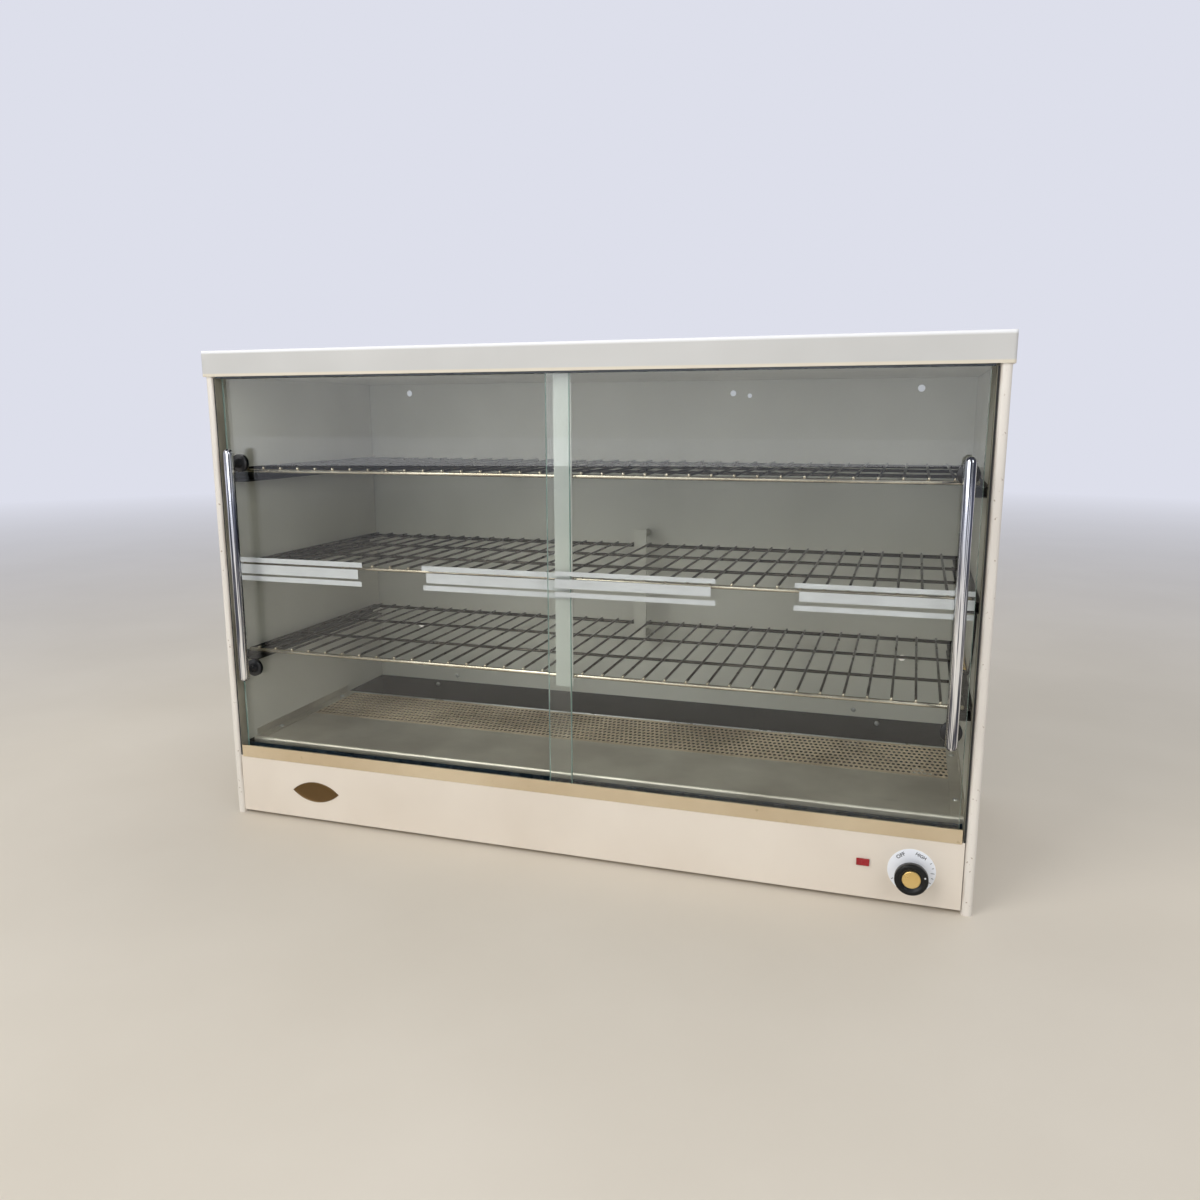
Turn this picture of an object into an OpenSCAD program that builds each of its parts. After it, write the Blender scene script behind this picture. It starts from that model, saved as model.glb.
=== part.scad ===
// Countertop hot food display case: a folded steel cabinet with two sliding glass doors,
// three wire shelves and a heated base under a perforated floor.
// x runs to the right, y to the back and z up. Inside the modules y = 0 is the front edge
// of the side panels; place() then moves every node so that the origin lies under the
// middle of the whole object's box.

/* [Cabinet] */
// Width over the side panels
case_w = 914; // [800:1:1100]
// Height to the top of the cover
case_h = 594; // [560:1:700]
// Depth from the side panels' front edges to the back panel's outer face
case_d = 366; // [350:1:420]
// Thickness of a folded side panel
side_t = 11.5; // [10:0.5:16]
// Thickness of the cabinet's sheet steel
sheet = 1.2; // [1:0.1:1.5]
// Height of the cover's lip
lip_h = 30.5; // [26:0.5:36]
// Height of the cooking floor above the table
floor_z = 95.2; // [90:0.1:110]

/* [Doors] */
// Thickness of the door glass
glass_t = 5; // [4:0.5:5]
// Width of each door
door_w = 453; // [440:1:460]
// How far the right door stands off its jamb gasket when closed
door_rest_gap = 4.9; // [3:0.1:6]
// Length of a door handle
handle_len = 293; // [200:1:320]
// Width of a door handle
handle_w = 12.4; // [10:0.1:16]
// Thickness of a door handle
handle_t = 8; // [6:0.5:10]
// Distance between a handle's two fixings
handle_pitch = 262; // [160:1:270]
// Distance from the cabinet's middle to each handle
handle_x = 424.4; // [400:0.1:425]

/* [Shelves] */
// Height of the lower shelf's rods
shelf_low_z = 218.7; // [200:0.1:230]
// Height of the middle shelf's rods
shelf_mid_z = 332.2; // [320:0.1:345]
// Height of the upper shelf's rods
shelf_top_z = 449.3; // [440:0.1:460]
// Diameter of a shelf rod
rod_d = 5; // [4:0.5:6]
// Width of a shelf's cross wires
wire_d = 3; // [2:0.5:4]
// Spacing of the cross wires
wire_pitch = 24.57; // [20:0.01:30]

/* [Control] */
// Distance from the cabinet's middle to the control knob
knob_x = 394.3; // [380:0.1:400]
// Height of the control knob's spindle
knob_z = 42.3; // [36:0.1:46]
// Diameter of the knob's front
knob_d = 34.2; // [30:0.1:36]
// Diameter of the dial plate
dial_d = 49.2; // [44:0.1:52]
// Distance from the cabinet's middle to the indicator lamp
lamp_x = 344.4; // [320:0.1:350]
// Height of the indicator lamp
lamp_z = 45.5; // [40:0.1:50]

/* [Hidden] */

cream = [0.88, 0.85, 0.79];
steel = [0.72, 0.72, 0.7];
mirror_steel = [0.85, 0.85, 0.84];
black = [0.08, 0.08, 0.08];
charcoal = [0.22, 0.22, 0.22];
wool = [0.8, 0.76, 0.55];
clear = [0.75, 0.85, 0.8, 0.35];
brass = [0.7, 0.56, 0.3];

half_w = case_w / 2;
inner_x = half_w - side_t;          // inner face of a side panel
trim_x = inner_x - 3.2;             // ends of the trim and the tracks
top_z = case_h - 1.5;               // underside of the cover's top
lip_z = case_h - lip_h;             // bottom of the cover's lip
back_y = case_d - sheet;            // inner face of the back panel
panel_top = top_z - 0.1;            // top of the panels under the cover
nose_r = 5;                         // rounding of a side panel's front edge
jamb_d = 20;                        // depth of a side panel's inner return
ceiling_z = lip_z - 0.3;            // underside of the roof liner
overlap = 0.5;                      // depth to which welded wires sink into rods

track_y = [1, 19];                  // front and rear faces of the door tracks
track_wall = 1.2;
track_base = 3;
divider_y = 9;                      // front face of the wall between the channels
track_low_z = 80.5;                 // bottom of the bottom track
track_lip_z = 93.8;                 // top of the bottom track's outer walls
divider_z = 90;                     // top of the bottom track's middle wall
track_top_z = 576;                  // top of the top track
track_hang_z = 561.5;               // bottom of the top track

right_glass_y = 3.1;                // front face of the right door, in the front channel
left_glass_y = 11.5;                // front face of the left door, in the rear channel
glass_z = [track_low_z + track_base + 0.5, 570];
right_door_x = [inner_x - 2 - door_rest_gap - door_w, inner_x - 2 - door_rest_gap];
left_door_x = [2 + 1.2 - inner_x, 2 + 1.2 - inner_x + door_w];
handle_z = 184;                     // bottom end of a handle
fixing_z = [handle_z + 13, handle_z + 13 + handle_pitch];
post_len = 16;
washer_r = 11;
washer_t = [1.5, 1.8];              // thickness of the outer and the inner washer
screw_r = 2.5;

shelf_y = [25, 329];                // front and rear rods
shelf_end_x = 436;
rod_gap = (shelf_y[1] - shelf_y[0]) / 3;
wire_shift = -4.3;                  // sideways offset of the row of cross wires
wires_each_side = 17;
support_h = 12;
support_w = 18;
shelf_heights = [shelf_low_z, shelf_mid_z, shelf_top_z];

plate_t = 1.2;
floor_front_y = 34;                 // middle of the floor's rounded front lip
grille_y = [148.3, 260];
trough_y = [260.3, 363];
trough_z = 52;

element_r = 4.2;
element_z = 66;
element_bend_r = 12;
element_x = [-400, 392];
element_y = [180, 226];             // middle lines of the two hairpins
bracket_x = [-300, 0, 300];
base_z = 6.5;

phial_x = inner_x - 4.4;
phial_y = [159.5, 240];
phial_z = 225;
phial_r = 3;
bow_r = 100;                        // radius of the capillary's bow on the right wall

gland_x = 380;
gland_z = 30;
cable_r = 4;
bore_clearance = 0.08;              // radial clearance of the knob spindle in its bush
spindle_r = 3;
bush_r = 5;
knob_reach = 23;                    // how far the knob stands in front of the side panels

handle_front = right_glass_y - washer_t[0] - post_len - handle_t;
gland_back = case_d + 6;
mid_y = (min(handle_front, -knob_reach) + gland_back) / 2;

$fn = 48;

// Moves a node from the drawing position to the object's own frame.
module place() {
    translate([0, -mid_y, 0]) children();
}

// A block between two x, two y and two z values.
module block(x, y, z) {
    translate([x[0], y[0], z[0]]) cube([x[1] - x[0], y[1] - y[0], z[1] - z[0]]);
}

// A round bar along x, y or z.
module bar_x(x, y, z, r) {
    translate([x[0], y, z]) rotate([0, 90, 0]) cylinder(h = x[1] - x[0], r = r);
}
module bar_y(x, y, z, r) {
    translate([x, y[0], z]) rotate([-90, 0, 0]) cylinder(h = y[1] - y[0], r = r);
}
module bar_z(x, y, z, r) {
    translate([x, y, z[0]]) cylinder(h = z[1] - z[0], r = r);
}

// A round bar with domed ends, standing on the origin.
module domed_bar(length, r) {
    rotate_extrude() intersection() {
        union() {
            translate([0, r]) square([r, length - 2 * r]);
            for (z = [r, length - r]) translate([0, z]) circle(r);
        }
        square([r, length]);
    }
}

// The children and their mirror image across the middle of the cabinet.
module both_sides() {
    children();
    mirror([1, 0, 0]) children();
}

// A flat rectangle with round corners.
module round_rect(w, d, r) {
    translate([r, 0]) square([w - 2 * r, d]);
    translate([0, r]) square([w, d - 2 * r]);
    for (x = [r, w - r], y = [r, d - r]) translate([x, y]) circle(r);
}

// ---- cabinet shells ----

// The front nose of a side panel seen from above, thinner by t all round.
module nose_outline(t) {
    for (x = [nose_r, side_t - nose_r]) translate([x, nose_r]) circle(nose_r - t);
    translate([nose_r, t]) square([side_t - 2 * nose_r, nose_r]);
    translate([t, nose_r]) square([side_t - 2 * t, case_d - nose_r]);
}

// A side panel seen from above: outer skin, round nose, inner return and rear flange.
module side_outline() {
    difference() {
        nose_outline(0);
        difference() {
            nose_outline(sheet);
            translate([0, back_y - 0.1 - sheet]) square([side_t - sheet, sheet]);
        }
        translate([side_t - sheet, jamb_d]) square([side_t, case_d]);
        translate([-1, back_y - 0.1]) square([side_t + 2, case_d]);
    }
}

module side_panel() {
    linear_extrude(panel_top) translate([-half_w, 0]) side_outline();
    block([sheet - half_w, -inner_x - sheet], [nose_r, back_y - 0.1], [0, sheet]);
}

module left_side_panel() {
    color(cream) side_panel();
}

module right_side_panel() {
    color(cream) mirror([1, 0, 0]) side_panel();
}

module liner() {
    z = [floor_z + 0.8, ceiling_z - 0.2];
    y = [jamb_d + 0.2, back_y - 1.9];
    block([-inner_x - 1, -inner_x], y, z);
    for (flange = [z[0], z[1] - 1]) block([1.8 - half_w, -inner_x - 0.5], y, [flange, flange + 1]);
}

module left_liner() {
    color(cream) liner();
}

module right_liner() {
    color(cream) difference() {
        mirror([1, 0, 0]) liner();
        bar_x([inner_x - 1, inner_x + 2], 153 + bow_r * cos(186), phial_z + bow_r * (1 + sin(186)) + 1, 3);
    }
}

module side_insulation() {
    color(wool) both_sides()
        block([1.6 - half_w, -inner_x - 1.5], [nose_r + 17, back_y - 4], [floor_z + 3, ceiling_z - 2]);
}

module top_cover() {
    side = 2.5;
    front = 2;
    wall = 1.5;
    w = case_w + 2 * side;
    d = case_d + 1.5 + front;
    color(cream) translate([-w / 2, -front, lip_z]) difference() {
        linear_extrude(lip_h) round_rect(w, d, 3);
        translate([wall, wall, -1]) linear_extrude(lip_h - wall + 1)
            round_rect(w - 2 * wall, d - 2 * wall, 1.5);
    }
}

module roof_liner() {
    x = [-inner_x + 0.2, inner_x - 0.2];
    color(cream) block(x, [22.2, back_y - 1.9], [ceiling_z, ceiling_z + 1]);
    color(cream) block(x, [22.2, 23.2], [ceiling_z, track_top_z - 1]);
}

module roof_insulation() {
    color(wool) block([-inner_x + 2, inner_x - 2], [24, back_y - 4], [ceiling_z + 1.2, top_z - 2]);
}

module header_rail() {
    x = [-inner_x + 0.2, inner_x - 0.2];
    color(cream) {
        block(x, [0.8, 0.8 + sheet], [track_top_z, panel_top]);
        block(x, [0.8, 22], [track_top_z, track_top_z + sheet]);
        block(x, [0.8, 22], [panel_top - sheet, panel_top]);
    }
}

module back_hole(x, z, r) {
    bar_y(x, [back_y - 1, case_d + 1], z, r);
}

module back_panel() {
    color(cream) difference() {
        block([-half_w + 0.3, half_w - 0.3], [back_y, case_d], [floor_z - 1, panel_top]);
        for (x = [-377, 377]) {
            back_hole(x, 550, 4.5);
            back_hole(x * 0.985, 184.5, 4.5);
        }
        back_hole(128, 545.6, 4);
        back_hole(151, 542.2, 3);
    }
}

module lower_back_panel() {
    color(charcoal) difference() {
        block([-half_w + 0.3, half_w - 0.3], [back_y, case_d], [5, floor_z - 1.5]);
        back_hole(gland_x, gland_z, 8.2);
        for (x = [-260 : 26 : 260]) block([x - 9, x + 9], [back_y - 1, case_d + 1], [30, 34]);
    }
}

module base_pan() {
    color(steel) block([-inner_x + 0.3, inner_x - 0.3], [3, back_y - 0.2], [base_z, base_z + sheet]);
}

module base_side_plates() {
    color(steel) both_sides()
        block([-inner_x - 1, -inner_x], [jamb_d + 0.3, back_y - 1.9], [base_z, floor_z]);
}

module front_fascia() {
    x = [-inner_x + 0.2, inner_x - 0.2];
    y = [1, 1 + sheet];
    color(cream) difference() {
        union() {
            block(x, y, [5, track_low_z]);
            block(x, [1, 22], [track_low_z - sheet, track_low_z]);
            block(x, [1, 12], [5, 5 + sheet]);
        }
        bar_y(knob_x, [0, 4], knob_z, bush_r + 0.2);
        block([lamp_x - 5.7, lamp_x + 5.7], [0, 4], [lamp_z - 3.2, lamp_z + 3.2]);
    }
}

module polished_trim() {
    top = track_lip_z + 0.8;
    color(mirror_steel) {
        block([-trim_x, trim_x], [0, 0.9], [track_low_z - 1.5, top]);
        block([-trim_x, trim_x], [0, 2.4], [top - 0.7, top]);
    }
}

// ---- door tracks and gaskets ----

module bottom_track() {
    x = [-trim_x, trim_x];
    color(black) {
        block(x, track_y, [track_low_z, track_low_z + track_base]);
        block(x, [track_y[0], track_y[0] + track_wall], [track_low_z, track_lip_z]);
        block(x, [track_y[1] - track_wall, track_y[1]], [track_low_z, track_lip_z]);
        block(x, [divider_y, divider_y + track_wall], [track_low_z, divider_z]);
    }
}

module top_track() {
    x = [-trim_x, trim_x];
    color(black) {
        block(x, track_y, [track_top_z - track_base, track_top_z]);
        for (y = [track_y[0], divider_y, track_y[1] - track_wall])
            block(x, [y, y + track_wall], [track_hang_z, track_top_z]);
    }
}

module jamb_gasket() {
    color(black) block([-inner_x, -inner_x + 2], track_y, [track_low_z, track_hang_z]);
}

module left_jamb_gasket() {
    jamb_gasket();
}

module right_jamb_gasket() {
    mirror([1, 0, 0]) jamb_gasket();
}

// ---- floor and heated base ----

module floor_plate() {
    x = [-inner_x + 0.2, inner_x - 0.2];
    color(steel) {
        block(x, [floor_front_y, grille_y[0] - 0.3], [floor_z - plate_t, floor_z]);
        bar_x(x, floor_front_y, floor_z - 1.6, 3.4);
        block(x, [floor_front_y - 3.2, floor_front_y - 2], [track_low_z + 0.5, floor_z - 1.6]);
    }
}

module vent_grille() {
    color(steel) difference() {
        block([-inner_x + 0.2, inner_x - 0.2], grille_y, [floor_z - plate_t, floor_z]);
        for (x = [-400 : 40 : 400], y = [168, 204, 240])
            block([x - 14, x + 14], [y - 3, y + 3], [floor_z - 3, floor_z + 1]);
    }
}

module rear_trough() {
    x = [-inner_x + 0.2, inner_x - 0.2];
    color(charcoal) difference() {
        block(x, trough_y, [trough_z, floor_z]);
        block([x[0] + sheet, x[1] - sheet], [trough_y[0] + sheet, trough_y[1] - sheet],
              [trough_z + sheet, floor_z + 1]);
    }
}

module floor_angles() {
    y = [38, 258];
    color(steel) both_sides() {
        block([-inner_x + 0.2, -inner_x + 14], y, [floor_z, floor_z + sheet]);
        block([-inner_x + 0.2, -inner_x + 0.2 + sheet], y, [floor_z, floor_z + 10]);
    }
}

// A hairpin rod: two straight legs and a half-round bend at the left end.
module hairpin(y) {
    for (side = [-1, 1]) bar_x(element_x, y + side * element_bend_r, element_z, element_r);
    translate([element_x[0], y, element_z]) rotate([0, 0, 90])
        rotate_extrude(angle = 180) translate([element_bend_r, 0]) circle(element_r);
}

module front_element() {
    color(charcoal) hairpin(element_y[0]);
}

module rear_element() {
    color(charcoal) hairpin(element_y[1]);
}

module element_brackets() {
    color(steel) for (x = bracket_x) difference() {
        union() {
            block([x - 1, x + 1], [155, 251], [base_z + sheet, element_z + 10]);
            block([x - 1, x + 16], [155, 251], [base_z + sheet, base_z + 2 * sheet]);
        }
        for (y = element_y, side = [-1, 1])
            bar_x([x - 2, x + 2], y + side * element_bend_r, element_z, element_r + 0.1);
    }
}

module element_ceramics() {
    color([0.9, 0.88, 0.82]) for (y = element_y, side = [-1, 1]) {
        bar_x([element_x[1], element_x[1] + 14], y + side * element_bend_r, element_z, 6);
        bar_x([element_x[1] + 14, element_x[1] + 26], y + side * element_bend_r, element_z, 1.6);
    }
}

module terminal_block() {
    x = [300, 348];
    color([0.85, 0.83, 0.78]) difference() {
        block(x, [60, 82], [base_z + sheet, base_z + 18]);
        for (cell = [0 : 2], y = [66, 76])
            bar_z(x[0] + 8 + 16 * cell, y, [base_z + 8, base_z + 19], 2.6);
    }
}

module earth_stud() {
    color(brass) {
        bar_z(270, 71, [base_z + sheet, base_z + 18], 2);
        translate([270, 71, base_z + sheet]) cylinder(h = 4, r = 4.2, $fn = 6);
        translate([270, 71, base_z + 9]) cylinder(h = 3.2, r = 4.2, $fn = 6);
    }
}

// ---- control, lamp and badge ----

module thermostat_body() {
    color(black) difference() {
        block([knob_x - 20.8, knob_x + 19.2], [6, 42], [knob_z - 24.8, knob_z + 23.2]);
        bar_y(knob_x, [5, 18], knob_z, spindle_r + 0.6);
    }
}

module thermostat_bush() {
    color(brass) difference() {
        bar_y(knob_x, [-2.6, 6], knob_z, bush_r);
        bar_y(knob_x, [-4, 8], knob_z, spindle_r + bore_clearance);
    }
}

module bush_nut() {
    color(steel) difference() {
        translate([knob_x, 0.2, knob_z]) rotate([90, 0, 0]) cylinder(h = 2.4, r = 8, $fn = 6);
        bar_y(knob_x, [-4, 2], knob_z, bush_r);
    }
}

module thermostat_phial() {
    color(brass) translate([phial_x, phial_y[0], phial_z]) rotate([-90, 0, 0])
        domed_bar(phial_y[1] - phial_y[0], phial_r);
}

// A thin eight-sided tube through a list of points; each length runs on a little past its end.
module tube(points, r) {
    for (i = [0 : len(points) - 2]) {
        run = points[i + 1] - points[i];
        translate(points[i]) rotate([0, acos(run[2] / norm(run)), atan2(run[1], run[0])])
            cylinder(h = norm(run) + r / 2, r = r, $fn = 8);
    }
}

// The capillary comes out of the right wall and bows down and back to the phial.
module thermostat_capillary() {
    x = inner_x - 2.2;
    centre = [153, phial_z + bow_r];
    bow = [for (a = [186 : 12 : 270]) [x, centre[0] + bow_r * cos(a), centre[1] + bow_r * sin(a)]];
    color(black) tube(concat([[inner_x + 0.8, bow[0][1], bow[0][2] + 1]], bow,
                             [[phial_x, phial_y[0] - 1, phial_z]]), 1.3);
}

module lamp_lens() {
    color([0.75, 0.05, 0.03])
        block([lamp_x - 6.8, lamp_x + 6.8], [-1.2, 1], [lamp_z - 3.8, lamp_z + 3.8]);
}

module lamp_body() {
    color(black) block([lamp_x - 5.5, lamp_x + 5.5], [1, 26], [lamp_z - 3, lamp_z + 3]);
}

module dial_plate() {
    color(steel) difference() {
        bar_y(knob_x, [0.2, 1], knob_z, dial_d / 2);
        bar_y(knob_x, [-1, 2], knob_z, bush_r + 0.2);
    }
}

// A pointed oval made by two crossing circles.
module badge_plate() {
    w = 67;
    h = 26.6;
    arc_r = (w * w + h * h) / (4 * h);
    color(brass) translate([-335, 1, 41.5]) rotate([90, 0, 0]) linear_extrude(1) intersection() {
        translate([0, arc_r - h / 2]) circle(arc_r);
        translate([0, h / 2 - arc_r]) circle(arc_r);
    }
}

// ---- supply entry and wiring ----

module cable_gland() {
    color(black) difference() {
        union() {
            bar_y(gland_x, [back_y - 10, case_d + 1], gland_z, 8);
            bar_y(gland_x, [case_d, gland_back], gland_z, 11);
        }
        bar_y(gland_x, [back_y - 12, gland_back + 1], gland_z, cable_r);
    }
}

module gland_nut() {
    color(black) difference() {
        translate([gland_x, back_y, gland_z]) rotate([90, 0, 0]) cylinder(h = 5, r = 12, $fn = 6);
        bar_y(gland_x, [back_y - 7, back_y + 1], gland_z, 8);
    }
}

module wiring_loom() {
    wire_r = 1.2;
    low = base_z + 4;
    color([0.25, 0.25, 0.5])
        tube([[gland_x - 8, back_y - 12, gland_z], [gland_x - 16, 300, 20], [350, 120, low],
              [324, 92, low + 6], [324, 84, low + 6]], wire_r);
    color([0.45, 0.25, 0.15])
        tube([[gland_x, back_y - 12, gland_z - 3], [gland_x - 8, 300, 16], [370, 120, low],
              [340, 90, low + 6], [340, 84, low + 6]], wire_r);
    color([0.2, 0.5, 0.2])
        tube([[gland_x - 4, back_y - 12, gland_z - 6], [340, 300, low], [300, 120, low],
              [276, 84, low + 6], [276, 77, low + 6]], wire_r);
    color([0.45, 0.25, 0.15])
        tube([[340, 58, low + 6], [360, 50, 30], [380, 47, 35], [388, 44, 35]], wire_r);
    color([0.7, 0.1, 0.1])
        tube([[398, 44, 50], [404, 60, 58], [420, 120, element_z], [420, 160, element_z]], wire_r);
    color([0.7, 0.1, 0.1])
        tube([[lamp_x, 28, 45], [lamp_x, 44, 45], [330, 54, 30], [324, 58, low + 6]], wire_r);
}

// ---- shelves ----

// Four rods along the case, an end rod at each side and a row of cross wires on top.
module shelf(z) {
    wire_z = z + rod_d / 2 - overlap;
    color(steel) {
        for (i = [0 : 3]) bar_x([-shelf_end_x, shelf_end_x], shelf_y[0] + rod_gap * i, z, rod_d / 2);
        for (x = [-shelf_end_x, shelf_end_x])
            bar_y(x, [shelf_y[0] - 2, shelf_y[1] + 2], z, rod_d / 2);
        for (i = [-wires_each_side : wires_each_side]) {
            x = wire_shift + wire_pitch * i;
            block([x - wire_d / 2, x + wire_d / 2], [shelf_y[0] - 2, shelf_y[1] + 2],
                  [wire_z, wire_z + wire_d]);
        }
    }
}

module upper_shelf() {
    shelf(shelf_top_z);
}

module middle_shelf() {
    shelf(shelf_mid_z);
}

module lower_shelf() {
    shelf(shelf_low_z);
}

// Channels on the side walls, open towards the middle.
module shelf_supports() {
    x = [-inner_x + 0.2, -inner_x + support_w];
    color(cream) both_sides() for (shelf_z = shelf_heights) {
        top = shelf_z - rod_d / 2;
        difference() {
            block(x, [26, 340], [top - support_h, top]);
            block([x[0] + sheet, x[1] + 1], [25, 341], [top - support_h + sheet, top - sheet]);
        }
    }
}

// A flat strip with a ledge under each shelf's rod.
module strut(x, y, z, ledge_y, heights) {
    block(x, y, z);
    for (shelf_z = heights)
        block(x, ledge_y, [shelf_z - rod_d / 2 - 1.6, shelf_z - rod_d / 2 - 0.1]);
}

module front_strut() {
    color(cream) strut([-9.5, 10.5], [19.2, 21.4], [207, track_top_z], [19.2, 28], shelf_heights);
}

// The rear strut stands between two cross wires, on spacers from the back panel.
module rear_strut() {
    x = [-2.5, 15.5];
    y = [323, 325.5];
    color(cream) {
        strut(x, y, [192, 356], [323, 332], [shelf_low_z, shelf_mid_z]);
        for (z = [199, 348]) bar_y((x[0] + x[1]) / 2, [y[0] + 1, back_y], z, 5);
    }
}

// ---- screws ----

module screw_head(r) {
    intersection() {
        cylinder(h = r * 0.6, r = r);
        translate([0, 0, -r * 0.65]) sphere(r * 1.25);
    }
}

module case_screws() {
    color(steel) {
        for (x = [-440, -220, 0, 220, 440], z = [floor_z + 14, 556])
            translate([x, case_d, z]) rotate([-90, 0, 0]) screw_head(3.6);
        for (side = [-1, 1], z = [250, 400])
            translate([side * 452, case_d, z]) rotate([-90, 0, 0]) screw_head(3.6);
        for (x = [-420, -140, 140, 420])
            translate([x, case_d, 80]) rotate([-90, 0, 0]) screw_head(3.6);
        for (x = [-400, 0, 400], y = [30, 340])
            translate([x, y, base_z]) rotate([180, 0, 0]) screw_head(3.6);
    }
}

module floor_screws() {
    color(steel) {
        both_sides() for (y = [80, 230])
            translate([-inner_x + 8, y, floor_z + sheet]) screw_head(3.4);
        for (x = [-343, 343])
            translate([x, trough_y[1] - sheet, floor_z - 7]) rotate([90, 0, 0]) screw_head(3.4);
        for (x = [-310, 310])
            translate([x, back_y, floor_z + 9]) rotate([90, 0, 0]) screw_head(3.4);
    }
}

// ---- sliding doors ----

module door_glass(x, y, fixing_x) {
    color(clear) difference() {
        block(x, [y, y + glass_t], glass_z);
        for (z = fixing_z) bar_y(fixing_x, [y - 1, y + glass_t + 1], z, 4.2);
    }
}

// A round-fronted bar with domed ends and two blind screw holes in its flat back.
module door_handle(x, back) {
    r = handle_w / 2;
    color(mirror_steel) difference() {
        translate([x, back - handle_t + r, handle_z]) domed_bar(handle_len, r);
        block([x - 20, x + 20], [back, back + 20], [handle_z - 1, handle_z + handle_len + 1]);
        for (z = fixing_z) bar_y(x, [back - 4, back + 1], z, screw_r);
    }
}

module handle_posts(x, back) {
    color(black) for (z = fixing_z) difference() {
        bar_y(x, [back, back + post_len], z, 6);
        bar_y(x, [back - 1, back + post_len + 1], z, screw_r + 0.1);
    }
}

// Washers on both faces of the glass and the screws that run through them.
module handle_fixings(x, glass_y) {
    rear = glass_y + glass_t;
    back = glass_y - washer_t[0] - post_len;
    for (z = fixing_z) {
        color(black) difference() {
            union() {
                bar_y(x, [glass_y - washer_t[0], glass_y], z, washer_r);
                bar_y(x, [rear, rear + washer_t[1]], z, washer_r);
            }
            bar_y(x, [glass_y - 3, glass_y + 1], z, screw_r + 0.1);
        }
        color(steel) bar_y(x, [back - 3.8, rear + 1], z, screw_r);
        color(steel) bar_y(x, [rear + washer_t[1], rear + washer_t[1] + 2.2], z, 5);
    }
}

function handle_back(glass_y) = glass_y - washer_t[0] - post_len;

module left_glass() {
    door_glass(left_door_x, left_glass_y, -handle_x);
}

module left_handle() {
    door_handle(-handle_x, handle_back(left_glass_y));
}

module left_handle_posts() {
    handle_posts(-handle_x, handle_back(left_glass_y));
}

module left_handle_fixings() {
    handle_fixings(-handle_x, left_glass_y);
}

module right_glass() {
    door_glass(right_door_x, right_glass_y, handle_x);
}

module right_handle() {
    door_handle(handle_x, handle_back(right_glass_y));
}

module right_handle_posts() {
    handle_posts(handle_x, handle_back(right_glass_y));
}

module right_handle_fixings() {
    handle_fixings(handle_x, right_glass_y);
}

// ---- control knob ----

// Turns a profile of radius and distance in front of the fascia about the spindle's axis.
module about_spindle() {
    translate([knob_x, 0, knob_z]) rotate([90, 0, 0]) rotate_extrude() children();
}

// A slim hub carries a shallow cap, dished at the front round the insert.
module knob() {
    r = knob_d / 2;
    front = knob_reach;
    rear = front - 8;
    hub_r = 11;
    color(black) about_spindle() difference() {
        polygon([
            [0, 3.5], [hub_r, 3.5], [hub_r, rear - 0.5], [r - 0.8, rear], [r, rear + 0.8],
            [r, front - 1.4], [r - 1.4, front], [12.6, front], [9.8, front - 2], [0, front - 2]
        ]);
        square([9.5, 8]);
        square([spindle_r + 0.02, 18]);
        translate([0, front - 2.8]) square([9.6, 4]);
    }
}

module knob_insert() {
    back = knob_reach - 2.8;
    color(brass) about_spindle()
        polygon([[0, back], [9.5, back], [9.5, back + 1.1], [8.9, back + 1.7], [0, back + 1.7]]);
}

module knob_spindle() {
    color(steel) bar_y(knob_x, [-17.8, 16], knob_z, spindle_r);
}

place() left_side_panel();
place() right_side_panel();
place() left_liner();
place() right_liner();
place() side_insulation();
place() top_cover();
place() roof_liner();
place() roof_insulation();
place() header_rail();
place() top_track();
place() back_panel();
place() lower_back_panel();
place() base_pan();
place() base_side_plates();
place() front_fascia();
place() polished_trim();
place() bottom_track();
place() left_jamb_gasket();
place() right_jamb_gasket();
place() floor_plate();
place() vent_grille();
place() rear_trough();
place() floor_angles();
place() front_element();
place() rear_element();
place() element_brackets();
place() element_ceramics();
place() terminal_block();
place() earth_stud();
place() thermostat_body();
place() thermostat_bush();
place() bush_nut();
place() thermostat_phial();
place() thermostat_capillary();
place() lamp_lens();
place() lamp_body();
place() dial_plate();
place() badge_plate();
place() cable_gland();
place() gland_nut();
place() wiring_loom();
place() upper_shelf();
place() middle_shelf();
place() lower_shelf();
place() shelf_supports();
place() front_strut();
place() rear_strut();
place() case_screws();
place() floor_screws();
place() left_glass();
place() left_handle();
place() left_handle_posts();
place() left_handle_fixings();
place() right_glass();
place() right_handle();
place() right_handle_posts();
place() right_handle_fixings();
place() knob();
place() knob_insert();
place() knob_spindle();
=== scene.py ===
"""Looks of the hot food display case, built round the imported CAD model."""

import math

import bmesh
import bpy
from mathutils import Matrix, Vector


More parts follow.
